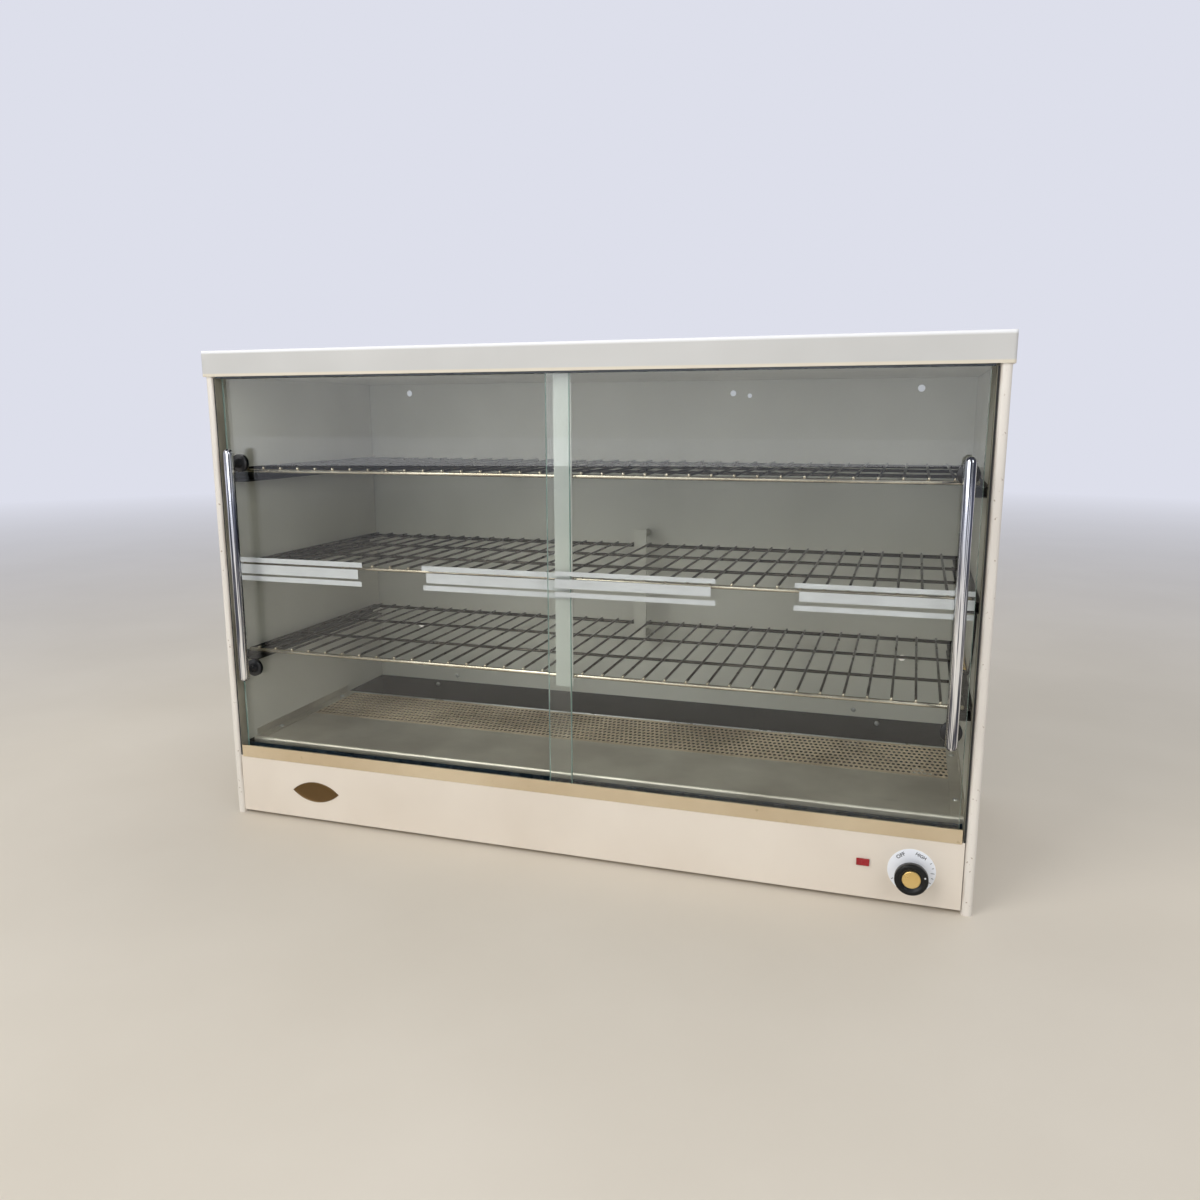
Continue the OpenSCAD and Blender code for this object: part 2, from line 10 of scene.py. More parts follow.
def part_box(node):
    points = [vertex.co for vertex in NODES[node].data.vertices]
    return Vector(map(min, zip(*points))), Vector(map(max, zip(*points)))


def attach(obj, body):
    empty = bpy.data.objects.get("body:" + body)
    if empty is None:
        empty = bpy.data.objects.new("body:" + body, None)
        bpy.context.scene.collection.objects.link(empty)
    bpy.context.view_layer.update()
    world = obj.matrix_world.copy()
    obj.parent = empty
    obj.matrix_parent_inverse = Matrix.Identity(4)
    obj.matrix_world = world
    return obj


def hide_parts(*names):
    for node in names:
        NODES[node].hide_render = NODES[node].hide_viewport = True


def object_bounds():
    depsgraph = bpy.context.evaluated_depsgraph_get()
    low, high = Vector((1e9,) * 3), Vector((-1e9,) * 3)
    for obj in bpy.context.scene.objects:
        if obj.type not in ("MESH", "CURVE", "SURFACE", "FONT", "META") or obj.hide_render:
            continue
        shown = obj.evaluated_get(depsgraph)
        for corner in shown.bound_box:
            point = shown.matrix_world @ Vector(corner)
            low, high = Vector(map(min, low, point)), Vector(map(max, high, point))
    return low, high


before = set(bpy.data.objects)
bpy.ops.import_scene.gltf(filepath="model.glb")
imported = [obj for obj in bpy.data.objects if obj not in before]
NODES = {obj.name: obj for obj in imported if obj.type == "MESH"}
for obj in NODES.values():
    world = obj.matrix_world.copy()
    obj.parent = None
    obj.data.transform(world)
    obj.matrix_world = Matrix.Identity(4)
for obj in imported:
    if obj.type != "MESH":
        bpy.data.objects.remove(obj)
cad_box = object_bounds()

MM = 0.001  # metres in a millimetre
front_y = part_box("left_side_panel")[0][1]  # front edges of the side panels, in metres
scene = bpy.context.scene


def at(x, y, z):
    """A point in millimetres from the case's middle, the panels' front edges and the table."""
    return Vector((x * MM, front_y + y * MM, z * MM))


def box_mm(node):
    """A CAD node's lowest and highest corners in the same millimetres as at()."""
    low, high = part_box(node)
    return tuple((c[0] / MM, (c[1] - front_y) / MM, c[2] / MM) for c in (low, high))


# ---- camera, floor and light ----

CAMERA_PLACE = (374.6, -1007.1, 516.6)  # millimetres, as at() takes them
CAMERA_TURN = 0.3123  # radians to the left of straight ahead
CAMERA_TILT = -0.1886  # radians above level
CAMERA_ROLL = -0.0027
LENS = 29.09  # millimetres, on a sensor of full width
SENSOR = 36
FAR_CLIP = 50  # metres

BACKDROP = (0.723, 0.738, 0.83)
GLOW = (0.90, 0.93, 1.0)
GLOW_STRENGTH = 0.4
FLOOR_DARK = (0.76, 0.69, 0.58)
FLOOR_LIGHT = (0.81, 0.74, 0.63)
FLOOR_REACH = 20000  # millimetres from the middle to each side
FADE_START = 0.9  # metres from the middle
FADE_END = 6.0

# Each lamp: its name, place, target and size in metres, its watts and its colour
LAMPS = (
    ("key", (-1.5, -2.3, 2.4), (0, 0, 0.3), (1.8, 1.6), 36, (1.0, 0.98, 0.95)),
    ("fill", (2.1, -1.9, 1.6), (0, 0, 0.3), (1.4, 1.6), 14, (0.97, 0.98, 1.0)),
    ("top", (0.2, 0.6, 2.6), (0, 0, 0.4), (2.0, 1.6), 16, (1.0, 1.0, 1.0)),
    ("front", (-0.9, -3.0, 0.95), (-0.2, 0, 0.6), (3.4, 1.3), 26, (0.98, 0.99, 1.0)),
)
# Each dark card: its name, its middle's x and y, and its width and height, in metres
DARK_CARDS = (
    ("dark_card_right", 1.7, -1.6, 0.5, 1.6),
    ("dark_card_left", -2.3, -1.2, 0.5, 1.6),
)


def add_camera():
    """The camera looks down at the case from its front right."""
    turn, tilt, roll = CAMERA_TURN, CAMERA_TILT, CAMERA_ROLL
    data = bpy.data.cameras.new("view_camera")
    data.sensor_width = SENSOR
    data.lens = LENS
    data.clip_end = FAR_CLIP
    forward = Vector((-math.sin(turn) * math.cos(tilt), math.cos(turn) * math.cos(tilt), math.sin(tilt)))
    level = Vector((math.cos(turn), math.sin(turn), 0))
    upright = level.cross(forward)
    right = math.cos(roll) * level + math.sin(roll) * upright
    up = math.cos(roll) * upright - math.sin(roll) * level
    pose = Matrix((right, up, -forward)).transposed().to_4x4()
    pose.translation = at(*CAMERA_PLACE)
    camera = bpy.data.objects.new("view_camera", data)
    camera.matrix_world = pose
    scene.collection.objects.link(camera)
    scene.camera = camera


def add_light(name, place, target, size, power, colour):
    """A soft rectangular lamp that mirrors in gloss but stays out of the picture itself."""
    data = bpy.data.lights.new(name, "AREA")
    data.shape = "RECTANGLE"
    data.size, data.size_y = size
    data.energy = power
    data.color = colour
    lamp = bpy.data.objects.new(name, data)
    lamp.location = place
    lamp.rotation_euler = (Vector(target) - Vector(place)).to_track_quat("-Z", "Y").to_euler()
    lamp.visible_camera = False
    scene.collection.objects.link(lamp)


def add_world():
    """An even backdrop for the camera, and a dimmer even glow for everything else."""
    world = bpy.data.worlds.new("studio")
    world.use_nodes = True
    nodes = world.node_tree.nodes
    link = world.node_tree.links.new
    light = nodes["Background"]
    light.inputs["Color"].default_value = (*GLOW, 1)
    light.inputs["Strength"].default_value = GLOW_STRENGTH
    seen = nodes.new("ShaderNodeBackground")
    seen.inputs["Color"].default_value = (*BACKDROP, 1)
    ray = nodes.new("ShaderNodeLightPath")
    choice = nodes.new("ShaderNodeMixShader")
    link(ray.outputs["Is Camera Ray"], choice.inputs["Fac"])
    link(light.outputs["Background"], choice.inputs[1])
    link(seen.outputs["Background"], choice.inputs[2])
    link(choice.outputs["Shader"], nodes["World Output"].inputs["Surface"])
    scene.world = world


def add_floor():
    """A plain pale floor that fades into the backdrop far from the case."""
    thickness = 20
    slab = Shape()
    slab.box((-FLOOR_REACH, -FLOOR_REACH, -thickness), (FLOOR_REACH, FLOOR_REACH, 0))
    s = Surface("pale_floor", FLOOR_LIGHT, 0.6)
    s.colour(s.mix(s.remap(s.noise(3, 4), 0.3, 0.7), FLOOR_DARK, FLOOR_LIGHT))
    glow = s.nodes.new("ShaderNodeEmission")
    glow.inputs["Color"].default_value = (*BACKDROP, 1)
    length = s.nodes.new("ShaderNodeVectorMath")
    length.operation = "LENGTH"
    s.link(s.place, length.inputs[0])
    s.blend_into(glow.outputs["Emission"], s.remap(length.outputs["Value"], FADE_START, FADE_END))
    mesh = bpy.data.meshes.new("ground")
    mesh.from_pydata([at(*v) for v in slab.verts], [], slab.faces)
    mesh.materials.append(s.mat)
    obj = bpy.data.objects.new("ground", mesh)
    scene.collection.objects.link(obj)


def add_dark_card(name, x, y, width, height):
    """A dark upright card that shows only in reflections, for contrast in chrome and glass."""
    card = bpy.data.meshes.new(name)
    left = x - width / 2
    right = x + width / 2
    corners = [(left, y, 0), (right, y, 0), (right, y, height), (left, y, height)]
    card.from_pydata(corners, [], [(0, 1, 2, 3)])
    card.materials.append(Surface(name, (0.01, 0.01, 0.01), 0.9).mat)
    obj = bpy.data.objects.new(name, card)
    obj.visible_camera = False
    obj.visible_diffuse = False
    obj.visible_shadow = False
    scene.collection.objects.link(obj)


# ---- materials ----


class Surface:
    """A Principled material with short calls for detail, laid out in the case's own frame in metres."""

    def __init__(self, name, colour, rough, metal=0.0, **sockets):
        self.mat = bpy.data.materials.new(name)
        self.mat.use_nodes = True
        self.nodes = self.mat.node_tree.nodes
        self.link = self.mat.node_tree.links.new
        self.shader = self.nodes["Principled BSDF"]
        self.place = self.nodes.new("ShaderNodeTexCoord").outputs["Object"]
        self.shader.inputs["Base Color"].default_value = (*colour, 1)
        self.shader.inputs["Roughness"].default_value = rough
        self.shader.inputs["Metallic"].default_value = metal
        for key, value in sockets.items():
            self.shader.inputs[key.replace("_", " ")].default_value = value

    def noise(self, scale, detail=3.0, stretch=(1, 1, 1)):
        """Noise from 0 to 1. A small stretch along an axis draws it out that way."""
        mapping = self.nodes.new("ShaderNodeMapping")
        mapping.inputs["Scale"].default_value = stretch
        self.link(self.place, mapping.inputs["Vector"])
        texture = self.nodes.new("ShaderNodeTexNoise")
        texture.inputs["Scale"].default_value = scale
        texture.inputs["Detail"].default_value = detail
        self.link(mapping.outputs["Vector"], texture.inputs["Vector"])
        return texture.outputs["Fac"]

    def axis(self, letter):
        """A place's X, Y or Z."""
        split = self.nodes.new("ShaderNodeSeparateXYZ")
        self.link(self.place, split.inputs["Vector"])
        return split.outputs[letter]

    def remap(self, value, low, high, out_low=0.0, out_high=1.0):
        """Maps low to out_low and high to out_high, and stops there."""
        node = self.nodes.new("ShaderNodeMapRange")
        for socket, number in zip(node.inputs[1:5], (low, high, out_low, out_high)):
            socket.default_value = number
        self.link(value, node.inputs["Value"])
        return node.outputs["Result"]

    def math(self, operation, a, b):
        """A sum on two values, each a number or another node's output."""
        node = self.nodes.new("ShaderNodeMath")
        node.operation = operation
        for socket, value in zip(node.inputs, (a, b)):
            if isinstance(value, (int, float)):
                socket.default_value = value
            else:
                self.link(value, socket)
        return node.outputs["Value"]

    def from_middle(self):
        """How far a place lies to either side of the case's middle."""
        return self.math("ABSOLUTE", self.axis("X"), 0.0)

    def mix(self, share, a, b):
        """A colour from a, where share is 0, to b, where it is 1."""
        node = self.nodes.new("ShaderNodeMix")
        node.data_type = "RGBA"
        self.link(share, node.inputs["Factor"])
        for socket, value in ((node.inputs[6], a), (node.inputs[7], b)):
            if isinstance(value, tuple):
                socket.default_value = (*value, 1)
            else:
                self.link(value, socket)
        return node.outputs[2]

    def colour(self, value):
        self.link(value, self.shader.inputs["Base Color"])

    def tinted(self):
        """The colour that is linked so far."""
        return self.shader.inputs["Base Color"].links[0].from_socket

    def rough(self, value):
        self.link(value, self.shader.inputs["Roughness"])

    def bump(self, height, strength, depth_mm):
        """Adds a bump on top of those there already."""
        node = self.nodes.new("ShaderNodeBump")
        node.inputs["Strength"].default_value = strength
        node.inputs["Distance"].default_value = depth_mm * MM
        self.link(height, node.inputs["Height"])
        previous = self.shader.inputs["Normal"]
        if previous.is_linked:
            self.link(previous.links[0].from_socket, node.inputs["Normal"])
        self.link(node.outputs["Normal"], previous)

    def blend_into(self, other, share):
        """Shows another shader in place of this one by a share."""
        blend = self.nodes.new("ShaderNodeMixShader")
        self.link(share, blend.inputs["Fac"])
        self.link(self.shader.outputs["BSDF"], blend.inputs[1])
        self.link(other, blend.inputs[2])
        self.link(blend.outputs["Shader"], self.nodes["Material Output"].inputs["Surface"])


def enamel(name, dark, light, rough, strokes=(3, 60, 160), peel=0.1):
    """Baked enamel: faint drifts of tone, brushed streaks and orange peel."""
    s = Surface(name, light, rough, Coat_Weight=0.15, Coat_Roughness=0.25)
    drift = s.remap(s.noise(6, 3), 0.3, 0.7)
    s.colour(s.mix(drift, dark, light))
    s.rough(s.remap(s.noise(35, 4), 0.3, 0.7, rough - 0.06, rough + 0.1))
    s.bump(s.noise(12, 5, strokes), 2 * peel, 0.1)
    s.bump(s.noise(700, 2), peel, 0.04)
    return s


def worn_enamel(name, dark, light, rough):
    """The same enamel, worn to brown in places along the corners of the panels' front edges."""
    s = enamel(name, dark, light, rough, (160, 60, 3))
    base = s.tinted()
    outer = cad_box[1][0]
    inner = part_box("right_side_panel")[0][0]
    across = s.from_middle()
    at_outer = s.remap(across, outer - 3.6 * MM, outer - 0.6 * MM)
    at_inner = s.remap(across, inner + 3.2 * MM, inner + 0.3 * MM)
    near_front = s.remap(s.axis("Y"), front_y + 4 * MM, front_y + 0.5 * MM)
    corner = s.math("MULTIPLY", s.math("MAXIMUM", at_outer, at_inner), near_front)
    chips = s.remap(s.noise(80, 8, (1.6, 1, 0.3)), 0.43, 0.58)
    specks = s.math("MULTIPLY", s.remap(s.noise(190, 5), 0.66, 0.72), near_front)
    share = s.math("MAXIMUM", s.math("MULTIPLY", corner, chips), specks)
    s.colour(s.mix(s.math("MULTIPLY", share, 0.78), base, (0.28, 0.19, 0.115)))
    return s


def sheet_metal(name, dark, light, rough, grain=(1, 60, 60), metal=1.0, depth=0.03):
    """Rolled, brushed, drawn or painted metal with fine grain and dull patches."""
    s = Surface(name, light, rough, metal)
    patches = s.remap(s.noise(9, 5), 0.35, 0.65)
    s.colour(s.mix(patches, dark, light))
    s.rough(s.remap(s.noise(20, 6, grain), 0.25, 0.75, rough - 0.08, rough + 0.14))
    s.bump(s.noise(60, 4, grain), 0.2, depth)
    return s


def lid_enamel(name, dark, light, rough):
    """Enamel with a painted highlight along the top edge, and a paler, warmer band along the lower hem."""
    s = enamel(name, dark, light, rough)
    base = s.tinted()
    low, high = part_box("top_cover")
    height = s.axis("Z")
    across = s.from_middle()
    start = 2.0 * MM  # the mask grows from this far inside the lid's outer faces
    full = 0.8 * MM
    side = s.remap(across, high[0] - start, high[0] - full)
    near = s.remap(s.axis("Y"), low[1] + start, low[1] + full)
    far = s.remap(s.axis("Y"), high[1] - start, high[1] - full)
    outside = s.math("MAXIMUM", side, s.math("MAXIMUM", near, far))
    # Painted highlight: paler along the top of the outer faces, where light catches the rounded top edge.
    painted_highlight = s.math("MULTIPLY", outside, s.remap(height, high[2] - 4.2 * MM, high[2] - 1.6 * MM))
    base = s.mix(painted_highlight, base, (0.92, 0.93, 0.95))
    hem = s.math("MULTIPLY", s.remap(height, low[2] + 4.0 * MM, low[2] + 2.4 * MM), 0.75)
    s.colour(s.mix(hem, base, (0.74, 0.66, 0.50)))
    return s


def jamb_felt(name):
    """The closing edge beside each door: olive felt with a black lip against the panel."""
    s = Surface(name, (0.2, 0.18, 0.13), 0.7)
    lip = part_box("right_jamb_gasket")[1][0]
    black = s.remap(s.from_middle(), lip - 2.0 * MM, lip - 1.6 * MM)
    patches = s.remap(s.noise(45, 6, (1, 1, 0.3)), 0.35, 0.65)
    felt = s.mix(patches, (0.24, 0.22, 0.165), (0.38, 0.355, 0.275))
    s.colour(s.mix(black, felt, (0.012, 0.012, 0.011)))
    s.bump(s.noise(500, 4), 0.3, 0.1)
    return s


def chrome_with_painted_reflections(name):
    """Chrome with fine drawn lines, and dark streaks along its length that are painted reflections of a
    cluttered room.
    """
    s = Surface(name, (0.85, 0.86, 0.88), 0.07, 1.0)
    upright = (24, 24, 0.35)
    # Painted reflection: dark streaks in the chrome's colour.
    streaks = s.remap(s.noise(20, 3, upright), 0.43, 0.54)
    s.colour(s.mix(streaks, (0.92, 0.93, 0.95), (0.085, 0.09, 0.12)))
    s.rough(s.remap(s.noise(30, 4, (20, 20, 0.6)), 0.3, 0.7, 0.04, 0.13))
    s.bump(s.noise(20, 3, upright), 0.25, 0.06)
    return s


def mirror_strip(name):
    """A polished trim strip, mirror-like, with drawn lines and a few brown pits. Its warm tan colour is a
    painted reflection of a wooden table.
    """
    # Painted reflection: the warm tan tones stand for a table mirrored in the strip.
    s = sheet_metal(name, (0.73, 0.60, 0.42), (0.85, 0.73, 0.54), 0.13, (1, 40, 40), 1, 0.008)
    pits = s.remap(s.noise(120, 6), 0.66, 0.74)
    s.colour(s.mix(s.math("MULTIPLY", pits, 0.4), s.tinted(), (0.34, 0.23, 0.13)))
    return s


def moulded(name, dark, light, rough, grain=400, depth=0.02, **sockets):
    """Moulded plastic, rubber or ceramic with a fine skin."""
    s = Surface(name, light, rough, **sockets)
    s.colour(s.mix(s.remap(s.noise(25, 3), 0.3, 0.7), dark, light))
    s.rough(s.remap(s.noise(60, 4), 0.3, 0.7, rough - 0.05, rough + 0.08))
    s.bump(s.noise(grain, 2), 0.15, depth)
    return s


def clear_glass(name, tint, rough):
    """Glass that bends and mirrors what is seen, and lets lamps through with a little tint."""
    s = Surface(name, tint, rough, Transmission_Weight=1.0, IOR=1.42)
    s.rough(s.remap(s.noise(14, 3), 0.45, 0.8, rough, rough + 0.02))
    lamp_ray = s.nodes.new("ShaderNodeLightPath").outputs["Is Shadow Ray"]
    through = s.nodes.new("ShaderNodeBsdfTransparent")
    through.inputs["Color"].default_value = (*(0.94 * c for c in tint), 1)
    s.blend_into(through.outputs["BSDF"], lamp_ray)
    return s


def edge_glass(name):
    """The ground edges of a pane, greener than its faces."""
    s = Surface(name, (0.42, 0.62, 0.55), 0.22, Transmission_Weight=0.35, IOR=1.48)
    s.colour(s.mix(s.remap(s.noise(40, 3), 0.3, 0.7), (0.30, 0.50, 0.43), (0.55, 0.74, 0.66)))
    return s


def wool(name):
    """Yellow mineral wool, matt and fibrous."""
    s = Surface(name, (0.6, 0.5, 0.25), 0.95)
    s.colour(s.mix(s.remap(s.noise(90, 8), 0.3, 0.7), (0.42, 0.33, 0.14), (0.72, 0.62, 0.36)))
    s.bump(s.noise(240, 8), 0.8, 1.0)
    return s


# Most finishes give a dark colour, a light one and a roughness, then their function's own further values
MATERIALS = {
    "cream": enamel("cream_enamel", (0.72, 0.64, 0.54), (0.80, 0.725, 0.625), 0.38),
    "panel": worn_enamel("panel_enamel", (0.74, 0.69, 0.62), (0.82, 0.775, 0.705), 0.36),
    # The lid is the same cream paint as the fascia, given a darker, greyer colour: painted shade and a
    # painted cool reflection of the room.
    "lid": lid_enamel("lid_enamel", (0.52, 0.515, 0.49), (0.59, 0.585, 0.56), 0.36),
    "liner": enamel("liner_enamel", (0.50, 0.48, 0.41), (0.59, 0.57, 0.50), 0.52, (20, 20, 2), 0.02),
    "back": enamel("back_enamel", (0.44, 0.43, 0.37), (0.53, 0.52, 0.455), 0.52, (20, 20, 2), 0.02),
    "jamb": jamb_felt("jamb_edge"),
    # Near black: the supports' own dark finish, and partly painted shade inside and under the channels.
    "rail": sheet_metal("shelf_rail", (0.010, 0.009, 0.008), (0.03, 0.027, 0.024), 0.45, (1, 8, 8), 0.2),
    "support": enamel("support_enamel", (0.52, 0.52, 0.48), (0.62, 0.62, 0.57), 0.34),
    "mirror": mirror_strip("polished_strip"),
    "floor": sheet_metal("floor_sheet", (0.44, 0.40, 0.33), (0.64, 0.60, 0.51), 0.34, (1, 60, 60), 0.75),
    "grille": sheet_metal("browned_sheet", (0.36, 0.27, 0.165), (0.68, 0.55, 0.38), 0.4, (1, 60, 60), 0.1),
    # Zinc-coated sheet made near black: painted shade for the space under the floor seen through the slots.
    "zinc": sheet_metal("zinc_sheet_and_painted_shade", (0.030, 0.028, 0.026), (0.070, 0.067, 0.063), 0.5),
    # Darker than black paint: the trough's dark sheet, and partly painted shade in its recess behind the
    # floor.
    "dark": sheet_metal("dark_sheet_and_painted_shade", (0.006, 0.0055, 0.005), (0.014, 0.013, 0.0115), 0.62,
                        (1, 2, 2), 0.0, 0.008),
    "sheath": sheet_metal("element_sheath", (0.05, 0.035, 0.03), (0.13, 0.11, 0.10), 0.5, (1, 20, 20)),
    # The blue tint is a painted reflection of a bluish room in the dark plastic.
    "track": moulded("track_plastic", (0.008, 0.013, 0.018), (0.018, 0.028, 0.038), 0.24),
    "rubber": moulded("black_rubber", (0.008, 0.008, 0.008), (0.02, 0.02, 0.02), 0.6),
    "chrome": chrome_with_painted_reflections("bright_chrome"),
    "nylon": moulded("black_nylon", (0.008, 0.008, 0.009), (0.02, 0.02, 0.022), 0.3),
    "knob": moulded("knob_plastic", (0.004, 0.004, 0.004), (0.010, 0.010, 0.010), 0.27, 700, 0.01,
                    Specular_IOR_Level=0.32),
    "dial": sheet_metal("dial_aluminium", (0.88, 0.90, 0.95), (0.94, 0.96, 1.0), 0.4, (1, 1, 1), 0.0),
    "print": moulded("dial_print", (0.02, 0.02, 0.025), (0.04, 0.04, 0.045), 0.5),
    "brass": sheet_metal("brass", (0.74, 0.48, 0.15), (0.88, 0.64, 0.27), 0.28, (1, 1, 1), 0.8),
    "bronze": sheet_metal("badge_bronze", (0.16, 0.10, 0.045), (0.34, 0.23, 0.11), 0.33, (8, 120, 8)),
    # Chrome wire given a near-black colour: painted shade for the dark inside of the case that it mirrors.
    "wire": sheet_metal("shelf_wire_with_painted_shade", (0.02, 0.017, 0.014), (0.085, 0.075, 0.062), 0.28,
                        (2, 2, 2), 1, 0.01),
    # The same chrome for the front rod, given a bright warm colour: a painted reflection.
    "rod": sheet_metal("shelf_chrome", (0.42, 0.36, 0.26), (0.70, 0.64, 0.52), 0.16, (2, 2, 2), 1, 0.01),
    "screw": sheet_metal("screw_steel", (0.42, 0.42, 0.41), (0.66, 0.66, 0.64), 0.3, (1, 1, 1)),
    "wool": wool("mineral_wool"),
    "ceramic": moulded("glazed_ceramic", (0.70, 0.67, 0.60), (0.84, 0.81, 0.74), 0.25),
    "lamp": moulded("lamp_red", (0.20, 0.006, 0.010), (0.36, 0.014, 0.020), 0.16, 300, 0.03),
    "cable": moulded("wire_insulation", (0.05, 0.03, 0.02), (0.16, 0.10, 0.06), 0.45),
    "white": moulded("stripe_print", (0.52, 0.52, 0.53), (0.60, 0.60, 0.61), 0.45, 600, 0.005),
    "glass": clear_glass("door_glass", (0.965, 0.985, 0.972), 0.0),
    "glass_edge": edge_glass("glass_edge"),
}


# ---- shapes ----


def square_to(axis):
    """The axis at unit length, and two unit vectors square to it."""
    axis = Vector(axis).normalized()
    side = axis.orthogonal().normalized()
    return axis, side, axis.cross(side)


def circle(centre, side, other, radius, steps):
    """Points round a centre, in the plane of two unit vectors."""
    turns = (2 * math.pi * i / steps for i in range(steps))
    return [tuple(centre + (side * math.cos(a) + other * math.sin(a)) * radius) for a in turns]


class Shape:
    """A mesh under construction, in the millimetres of at()."""

    def __init__(self):
        self.verts = []
        self.faces = []

    def add(self, verts, faces):
        """Adds vertices, and faces that count from the first of them."""
        start = len(self.verts)
        self.verts += verts
        self.faces += [tuple(start + i for i in f) for f in faces]

    def rings(self, rings):
        """Skins a row of rings that all have the same number of points, and closes both ends."""
        n = len(rings[0])
        verts = [v for ring in rings for v in ring]
        faces = []
        for r in range(len(rings) - 1):
            for i in range(n):
                j = (i + 1) % n
                faces.append((r * n + i, r * n + j, (r + 1) * n + j, (r + 1) * n + i))
        faces.append(tuple(reversed(range(n))))
        faces.append(tuple(range((len(rings) - 1) * n, len(rings) * n)))
        self.add(verts, faces)

    def tube(self, points, radius, sides):
        """A round wire along a path, its ends slightly domed."""
        path = [Vector(p) for p in points]
        rings = []
        last = len(path) - 1
        side = None
        for k, p in enumerate(path):
            run = (path[min(k + 1, last)] - path[max(k - 1, 0)]).normalized()
            if side is None:
                side = run.orthogonal().normalized()
            side = (side - run * side.dot(run)).normalized()
            other = run.cross(side)
            # Each ring's distance ahead of the point and its size, both as shares of the radius
            stations = [(0, 1)]
            if k == 0:
                stations = [(-0.5, 0.5), (-0.3, 0.85), (0, 1)]
            if k == last:
                stations = [(0, 1), (0.3, 0.85), (0.5, 0.5)]
            for ahead, share in stations:
                rings.append(circle(p + run * radius * ahead, side, other, radius * share, sides))
        self.rings(rings)

    def lathe(self, profile, origin, axis, steps):
        """Turns (radius, distance) pairs about an axis. A radius of 0 closes that end."""
        axis, side, other = square_to(axis)
        point = 0.001  # the radius that stands for 0
        self.rings([
            circle(Vector(origin) + axis * distance, side, other, max(radius, point), steps)
            for radius, distance in profile
        ])

    def ring_lathe(self, profile, origin, axis, steps):
        """Turns a closed profile of the same pairs, for washers and plates with a hole."""
        axis, side, other = square_to(axis)
        n = len(profile)
        verts = []
        for i in range(steps):
            a = 2 * math.pi * i / steps
            out = side * math.cos(a) + other * math.sin(a)
            verts += [tuple(Vector(origin) + axis * d + out * r) for r, d in profile]
        faces = []
        for i in range(steps):
            j = (i + 1) % steps
            for k in range(n):
                m = (k + 1) % n
                faces.append((i * n + k, i * n + m, j * n + m, j * n + k))
        self.add(verts, faces)

    def prism(self, outline, axis, low, high):
        """Extrudes an outline along x, y or z. The outline gives the other two in that order."""
        def place(a, b, c):
            return {"x": (c, a, b), "y": (a, c, b), "z": (a, b, c)}[axis]
        self.rings([[place(a, b, c) for a, b in outline] for c in (low, high)])

    def box(self, low, high):
        base = [(low[0], low[1]), (high[0], low[1]), (high[0], high[1]), (low[0], high[1])]
        self.prism(base, "z", low[2], high[2])

    def piece(self, name, material, body, replaced=(), bevel=0.0, segments=2, sharp=35):
        """Makes the object, with edges sharp above an angle in degrees, and ties it to its body."""
        mesh = bpy.data.meshes.new(name)
        mesh.from_pydata([at(*v) for v in self.verts], [], self.faces)
        mesh.validate()
        obj = bpy.data.objects.new(name, mesh)
        scene.collection.objects.link(obj)
        mesh.materials.append(MATERIALS[material].mat)
        tidy_normals(mesh)
        mesh.shade_smooth()
        mesh.set_sharp_from_angle(angle=math.radians(sharp))
        if bevel:
            soften(obj, bevel, segments)
        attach(obj, body)
        if replaced:
            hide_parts(*replaced)
        return obj


def tidy_normals(mesh):
    """Turns every face outwards."""
    work = bmesh.new()
    work.from_mesh(mesh)
    bmesh.ops.recalc_face_normals(work, faces=work.faces)
    work.to_mesh(mesh)
    work.free()


def soften(obj, width_mm, segments=2):
    """Rounds an object's edges where its faces turn by more than 40 degrees."""
    bevel = obj.modifiers.new("rounded_edges", "BEVEL")
    bevel.width = width_mm * MM
    bevel.segments = segments
    bevel.limit_method = "ANGLE"
    bevel.angle_limit = math.radians(40)
    bevel.use_clamp_overlap = True
    bevel.harden_normals = False


def dress(material, bevel, *names):
    """Gives CAD nodes their material and soft edges."""
    for name in names:
        obj = NODES[name]
        obj.data.materials.clear()
        obj.data.materials.append(MATERIALS[material].mat)
        if bevel:
            soften(obj, bevel)


# ---- doors ----

FORWARD = (0, -1, 0)  # out of the case's front
BACKWARD = (0, 1, 0)
POST_R = 6
WASHER_R = 11
WASHER_BORE = 2.7

# Each door: the lowest and highest edge of its three stripes, the middle and widths of the gaps in them,
# and how far the stripes start from the glass's left edge
STRIPES = {
    "left": (((334.5, 340.6), (320, 331.8), (311, 317.2)), -219.3, (81, 93, 84), 6),
    "right": (((338.3, 343.5), (324, 334.5), (314, 319.7)), 219.4, (84, 94, 83.5), 8),
}
STRIPE_END = 0.5  # how far the stripes stop from the glass's right edge
PRINT_NEAR = 0.02  # the print's two faces, behind the glass
PRINT_FAR = 0.12


def glass_pane(side, body):
    """A pane with rounded green edges. Gives its lowest and highest corners."""
    low, high = box_mm(side + "_glass")
    pane = Shape()
    pane.box(low, high)
    obj = pane.piece(side + "_pane", "glass", body, [side + "_glass"], 0.7, 3)
    obj.data.materials.append(MATERIALS["glass_edge"].mat)
    for face in obj.data.polygons:
        if abs(face.normal.y) < 0.5:
            face.material_index = 1
    return low, high


def stripes(side, body, low_x, high_x, rear_y):
    """Three white bands printed on the glass's inner face, with a gap in each."""
    bands, gap_middle, gaps, inset = STRIPES[side]
    art = Shape()
    for (low, high), gap in zip(bands, gaps):
        gap_left = gap_middle - gap / 2
        gap_right = gap_middle + gap / 2
        for a, b in ((low_x + inset, gap_left), (gap_right, high_x - STRIPE_END)):
            art.box((a, rear_y + PRINT_NEAR, low), (b, rear_y + PRINT_FAR, high))
    art.piece(side + "_stripes", "white", body)


